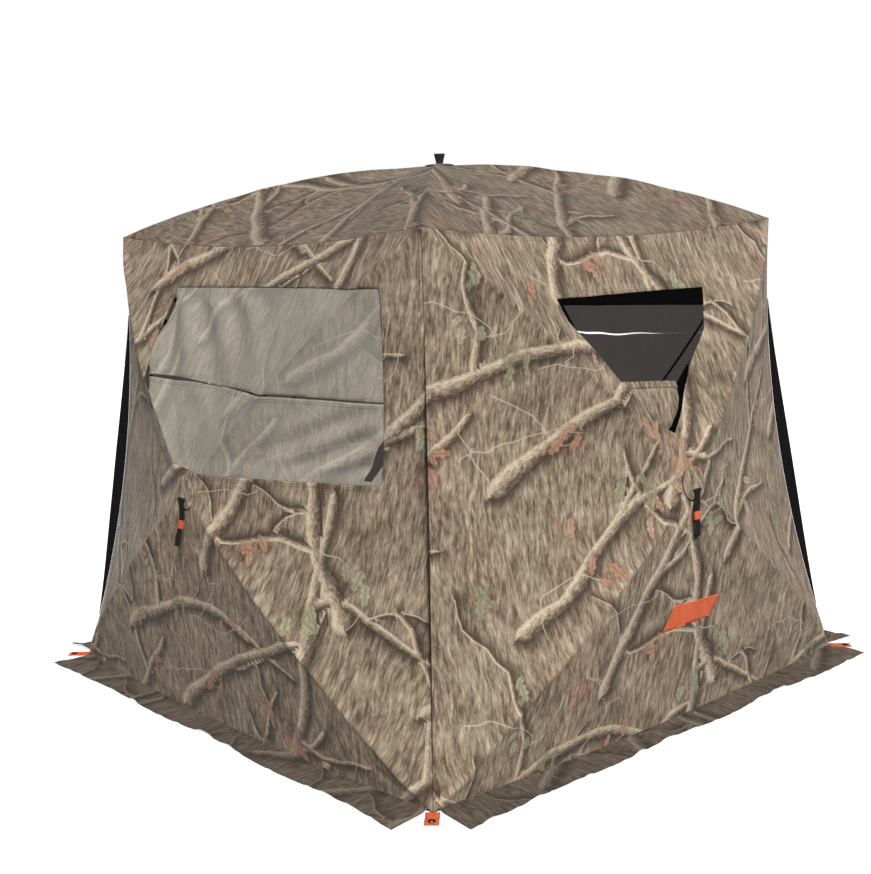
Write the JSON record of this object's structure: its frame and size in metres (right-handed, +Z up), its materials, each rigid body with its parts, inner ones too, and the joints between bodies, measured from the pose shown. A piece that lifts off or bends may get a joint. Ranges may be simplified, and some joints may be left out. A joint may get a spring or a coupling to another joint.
{
  "type": "pop-up ground blind",
  "caption": "Square pop-up fabric hunting shelter with leaning walls, hubs and curved rods that snap out, windows, a zipped door and a ground skirt.",
  "frame": {"origin": "middle of the floor, on the ground", "axes": "+Z up; the front wall with the open triangular window faces -Y, the wall with the large mesh window facing -X is the left wall, the door is in the back wall, facing +Y"},
  "size_m": [2.32, 2.32, 1.8733],
  "materials": {
    "camo_cloth": "woven polyester, printed woodland pattern",
    "black_cloth": "coated black cloth",
    "mesh_cloth": "fine printed see-through mesh",
    "rod": "pultruded glass fibre",
    "hub_nylon": "moulded nylon",
    "steel": "zinc plated",
    "webbing": "woven webbing",
    "orange_webbing": "woven webbing",
    "zip_tape": "zip tape and coil",
    "eyelet": "blackened",
    "patch": "plain stitched patch"
  },
  "bodies": {
    "shell": {"wall_front": "camo_cloth", "wall_right": "camo_cloth", "wall_back": "camo_cloth", "wall_left": "camo_cloth", "roof_canopy": "camo_cloth", "ground_skirt": "camo_cloth", "corner_webs": "black_cloth", "stake_tabs": "orange_webbing", "stake_eyelets": "eyelet", "eave_corner_sockets": "hub_nylon", "floor_corner_sockets": "hub_nylon", "left_mesh_upper": "mesh_cloth", "left_mesh_lower": "mesh_cloth", "right_mesh_panels": "mesh_cloth", "front_patch": "patch"},
    "front_hub": {"front_hub_body": "hub_nylon", "front_hub_cap": "hub_nylon", "front_hub_pins": "steel"},
    "front_pole_lower_left": {"front_pole_lower_left": "rod"},
    "front_pole_lower_right": {"front_pole_lower_right": "rod"},
    "front_pole_upper_right": {"front_pole_upper_right": "rod"},
    "front_pole_upper_left": {"front_pole_upper_left": "rod"},
    "front_strap": {"front_pull_strap": "webbing"},
    "right_hub": {"right_hub_body": "hub_nylon", "right_hub_cap": "hub_nylon", "right_hub_pins": "steel"},
    "right_pole_lower_left": {"right_pole_lower_left": "rod"},
    "right_pole_lower_right": {"right_pole_lower_right": "rod"},
    "right_pole_upper_right": {"right_pole_upper_right": "rod"},
    "right_pole_upper_left": {"right_pole_upper_left": "rod"},
    "right_strap": {"right_pull_strap": "webbing"},
    "back_hub": {"back_hub_body": "hub_nylon", "back_hub_cap": "hub_nylon", "back_hub_pins": "steel"},
    "back_pole_lower_left": {"back_pole_lower_left": "rod"},
    "back_pole_lower_right": {"back_pole_lower_right": "rod"},
    "back_pole_upper_right": {"back_pole_upper_right": "rod"},
    "back_pole_upper_left": {"back_pole_upper_left": "rod"},
    "back_strap": {"back_pull_strap": "webbing"},
    "left_hub": {"left_hub_body": "hub_nylon", "left_hub_cap": "hub_nylon", "left_hub_pins": "steel"},
    "left_pole_lower_left": {"left_pole_lower_left": "rod"},
    "left_pole_lower_right": {"left_pole_lower_right": "rod"},
    "left_pole_upper_right": {"left_pole_upper_right": "rod"},
    "left_pole_upper_left": {"left_pole_upper_left": "rod"},
    "left_strap": {"left_pull_strap": "webbing"},
    "roof_hub": {"roof_hub_body": "hub_nylon", "roof_hub_cap": "hub_nylon", "roof_hub_pins": "steel", "roof_pull_knob": "hub_nylon"},
    "roof_pole_front_left": {"roof_pole_front_left": "rod"},
    "roof_pole_front_right": {"roof_pole_front_right": "rod"},
    "roof_pole_back_right": {"roof_pole_back_right": "rod"},
    "roof_pole_back_left": {"roof_pole_back_left": "rod"},
    "front_window": {"front_window_cover": "camo_cloth"},
    "front_cover": {"front_cover_hem": "black_cloth"},
    "door_surround": {"door_zip": "zip_tape"},
    "door": {"door_flap": "camo_cloth"},
    "zip_slider": {"door_zip_slider": "steel"}
  },
  "joints": [
    {"name": "front_hub_pop", "type": "slide", "parent": "shell", "child": "front_hub", "axis": [0, 0.994, -0.1097], "range_m": [0, 0.43529], "deforming": ["wall_front", "front_patch"]},
    {"name": "front_pole_lower_left_swing", "type": "hinge", "parent": "front_hub", "child": "front_pole_lower_left", "pos_m": [-0.02865, -1.12249, 0.77158], "axis": [-0.6054, 0.0873, 0.7912], "range_deg": [0, 21.59]},
    {"name": "front_pole_lower_right_swing", "type": "hinge", "parent": "front_hub", "child": "front_pole_lower_right", "pos_m": [0.02865, -1.12249, 0.77158], "axis": [-0.6054, -0.0873, -0.7912], "range_deg": [0, 21.59]},
    {"name": "front_pole_upper_right_swing", "type": "hinge", "parent": "front_hub", "child": "front_pole_upper_right", "pos_m": [0.02538, -1.1173, 0.81862], "axis": [0.7091, -0.0773, -0.7009], "range_deg": [0, 23.26]},
    {"name": "front_pole_upper_left_swing", "type": "hinge", "parent": "front_hub", "child": "front_pole_upper_left", "pos_m": [-0.02538, -1.1173, 0.81862], "axis": [0.7091, 0.0773, 0.7009], "range_deg": [0, 23.26]},
    {"name": "front_strap_swing", "type": "hinge", "parent": "front_hub", "child": "front_strap", "pos_m": [0, -1.14962, 0.77638], "axis": [-1, 0, 0], "range_deg": [0, 150]},
    {"name": "right_hub_pop", "type": "slide", "parent": "shell", "child": "right_hub", "axis": [-0.994, 0, -0.1097], "range_m": [0, 0.43529], "deforming": ["wall_right", "right_mesh_panels"]},
    {"name": "right_pole_lower_left_swing", "type": "hinge", "parent": "right_hub", "child": "right_pole_lower_left", "pos_m": [1.12249, -0.02865, 0.77158], "axis": [-0.0873, -0.6054, 0.7912], "range_deg": [0, 21.59]},
    {"name": "right_pole_lower_right_swing", "type": "hinge", "parent": "right_hub", "child": "right_pole_lower_right", "pos_m": [1.12249, 0.02865, 0.77158], "axis": [0.0873, -0.6054, -0.7912], "range_deg": [0, 21.59]},
    {"name": "right_pole_upper_right_swing", "type": "hinge", "parent": "right_hub", "child": "right_pole_upper_right", "pos_m": [1.1173, 0.02538, 0.81862], "axis": [0.0773, 0.7091, -0.7009], "range_deg": [0, 23.26]},
    {"name": "right_pole_upper_left_swing", "type": "hinge", "parent": "right_hub", "child": "right_pole_upper_left", "pos_m": [1.1173, -0.02538, 0.81862], "axis": [-0.0773, 0.7091, 0.7009], "range_deg": [0, 23.26]},
    {"name": "right_strap_swing", "type": "hinge", "parent": "right_hub", "child": "right_strap", "pos_m": [1.14962, 0, 0.77638], "axis": [0, -1, 0], "range_deg": [0, 150]},
    {"name": "back_hub_pop", "type": "slide", "parent": "shell", "child": "back_hub", "axis": [0, -0.994, -0.1097], "range_m": [0, 0.43529], "deforming": ["wall_back"]},
    {"name": "back_pole_lower_left_swing", "type": "hinge", "parent": "back_hub", "child": "back_pole_lower_left", "pos_m": [0.02865, 1.12249, 0.77158], "axis": [0.6054, -0.0873, 0.7912], "range_deg": [0, 21.59]},
    {"name": "back_pole_lower_right_swing", "type": "hinge", "parent": "back_hub", "child": "back_pole_lower_right", "pos_m": [-0.02865, 1.12249, 0.77158], "axis": [0.6054, 0.0873, -0.7912], "range_deg": [0, 21.59]},
    {"name": "back_pole_upper_right_swing", "type": "hinge", "parent": "back_hub", "child": "back_pole_upper_right", "pos_m": [-0.02538, 1.1173, 0.81862], "axis": [-0.7091, 0.0773, -0.7009], "range_deg": [0, 23.26]},
    {"name": "back_pole_upper_left_swing", "type": "hinge", "parent": "back_hub", "child": "back_pole_upper_left", "pos_m": [0.02538, 1.1173, 0.81862], "axis": [-0.7091, -0.0773, 0.7009], "range_deg": [0, 23.26]},
    {"name": "back_strap_swing", "type": "hinge", "parent": "back_hub", "child": "back_strap", "pos_m": [0, 1.14962, 0.77638], "axis": [1, 0, 0], "range_deg": [0, 150]},
    {"name": "left_hub_pop", "type": "slide", "parent": "shell", "child": "left_hub", "axis": [0.994, 0, -0.1097], "range_m": [0, 0.43529], "deforming": ["wall_left", "left_mesh_upper", "left_mesh_lower"]},
    {"name": "left_pole_lower_left_swing", "type": "hinge", "parent": "left_hub", "child": "left_pole_lower_left", "pos_m": [-1.12249, 0.02865, 0.77158], "axis": [0.0873, 0.6054, 0.7912], "range_deg": [0, 21.59]},
    {"name": "left_pole_lower_right_swing", "type": "hinge", "parent": "left_hub", "child": "left_pole_lower_right", "pos_m": [-1.12249, -0.02865, 0.77158], "axis": [-0.0873, 0.6054, -0.7912], "range_deg": [0, 21.59]},
    {"name": "left_pole_upper_right_swing", "type": "hinge", "parent": "left_hub", "child": "left_pole_upper_right", "pos_m": [-1.1173, -0.02538, 0.81862], "axis": [-0.0773, -0.7091, -0.7009], "range_deg": [0, 23.26]},
    {"name": "left_pole_upper_left_swing", "type": "hinge", "parent": "left_hub", "child": "left_pole_upper_left", "pos_m": [-1.1173, 0.02538, 0.81862], "axis": [0.0773, -0.7091, 0.7009], "range_deg": [0, 23.26]},
    {"name": "left_strap_swing", "type": "hinge", "parent": "left_hub", "child": "left_strap", "pos_m": [-1.14962, 0, 0.77638], "axis": [0, 1, 0], "range_deg": [0, 150]},
    {"name": "roof_hub_pop", "type": "slide", "parent": "shell", "child": "roof_hub", "axis": [0, 0, -1], "range_m": [0, 0.462], "deforming": ["roof_canopy"]},
    {"name": "roof_pole_front_left_swing", "type": "hinge", "parent": "roof_hub", "child": "roof_pole_front_left", "pos_m": [-0.02546, -0.02546, 1.814], "axis": [-0.7071, 0.7071, 0], "range_deg": [0, 24.72]},
    {"name": "roof_pole_front_right_swing", "type": "hinge", "parent": "roof_hub", "child": "roof_pole_front_right", "pos_m": [0.02546, -0.02546, 1.814], "axis": [-0.7071, -0.7071, 0], "range_deg": [0, 24.72]},
    {"name": "roof_pole_back_right_swing", "type": "hinge", "parent": "roof_hub", "child": "roof_pole_back_right", "pos_m": [0.02546, 0.02546, 1.814], "axis": [0.7071, -0.7071, 0], "range_deg": [0, 24.72]},
    {"name": "roof_pole_back_left_swing", "type": "hinge", "parent": "roof_hub", "child": "roof_pole_back_left", "pos_m": [-0.02546, 0.02546, 1.814], "axis": [0.7071, 0.7071, 0], "range_deg": [0, 24.72]},
    {"name": "front_window_follow", "type": "hinge", "parent": "shell", "child": "front_window", "pos_m": [0, -0.838, 1.607], "axis": [1, 0, 0], "range_deg": [0, 29.07]},
    {"name": "front_cover_slide", "type": "slide", "parent": "front_window", "child": "front_cover", "axis": [0, 0.3445, 0.9388], "range_m": [0, 0.255], "deforming": ["front_window_cover"]},
    {"name": "door_follow", "type": "hinge", "parent": "shell", "child": "door_surround", "pos_m": [-1.01, 1.01, 0], "axis": [-0.1058, 0.1058, -0.9887], "range_deg": [0, 26.58]},
    {"name": "door_swing", "type": "hinge", "parent": "door_surround", "child": "door", "pos_m": [-0.81113, 0.94754, 0.832], "axis": [0.0755, -0.116, 0.9904], "range_deg": [0, 110]},
    {"name": "zip_slide", "type": "slide", "parent": "door_surround", "child": "zip_slider", "axis": [-0.5953, -0.2415, 0.7663], "range_m": [-0.48, 0.24]}
  ],
  "couplings": [
    {"joint": "front_pole_lower_left_swing", "follows": "front_hub_pop", "rad_per_m": 0.86463},
    {"joint": "front_pole_lower_right_swing", "follows": "front_hub_pop", "rad_per_m": 0.86463},
    {"joint": "front_pole_upper_right_swing", "follows": "front_hub_pop", "rad_per_m": 0.93174},
    {"joint": "front_pole_upper_left_swing", "follows": "front_hub_pop", "rad_per_m": 0.93174},
    {"joint": "right_pole_lower_left_swing", "follows": "right_hub_pop", "rad_per_m": 0.86463},
    {"joint": "right_pole_lower_right_swing", "follows": "right_hub_pop", "rad_per_m": 0.86463},
    {"joint": "right_pole_upper_right_swing", "follows": "right_hub_pop", "rad_per_m": 0.93174},
    {"joint": "right_pole_upper_left_swing", "follows": "right_hub_pop", "rad_per_m": 0.93174},
    {"joint": "back_pole_lower_left_swing", "follows": "back_hub_pop", "rad_per_m": 0.86463},
    {"joint": "back_pole_lower_right_swing", "follows": "back_hub_pop", "rad_per_m": 0.86463},
    {"joint": "back_pole_upper_right_swing", "follows": "back_hub_pop", "rad_per_m": 0.93174},
    {"joint": "back_pole_upper_left_swing", "follows": "back_hub_pop", "rad_per_m": 0.93174},
    {"joint": "left_pole_lower_left_swing", "follows": "left_hub_pop", "rad_per_m": 0.86463},
    {"joint": "left_pole_lower_right_swing", "follows": "left_hub_pop", "rad_per_m": 0.86463},
    {"joint": "left_pole_upper_right_swing", "follows": "left_hub_pop", "rad_per_m": 0.93174},
    {"joint": "left_pole_upper_left_swing", "follows": "left_hub_pop", "rad_per_m": 0.93174},
    {"joint": "roof_pole_front_left_swing", "follows": "roof_hub_pop", "rad_per_m": 0.9329},
    {"joint": "roof_pole_front_right_swing", "follows": "roof_hub_pop", "rad_per_m": 0.9329},
    {"joint": "roof_pole_back_right_swing", "follows": "roof_hub_pop", "rad_per_m": 0.9329},
    {"joint": "roof_pole_back_left_swing", "follows": "roof_hub_pop", "rad_per_m": 0.9329},
    {"joint": "front_window_follow", "follows": "front_hub_pop", "rad_per_m": 1.1649},
    {"joint": "door_follow", "follows": "back_hub_pop", "rad_per_m": 1.0647}
  ]
}
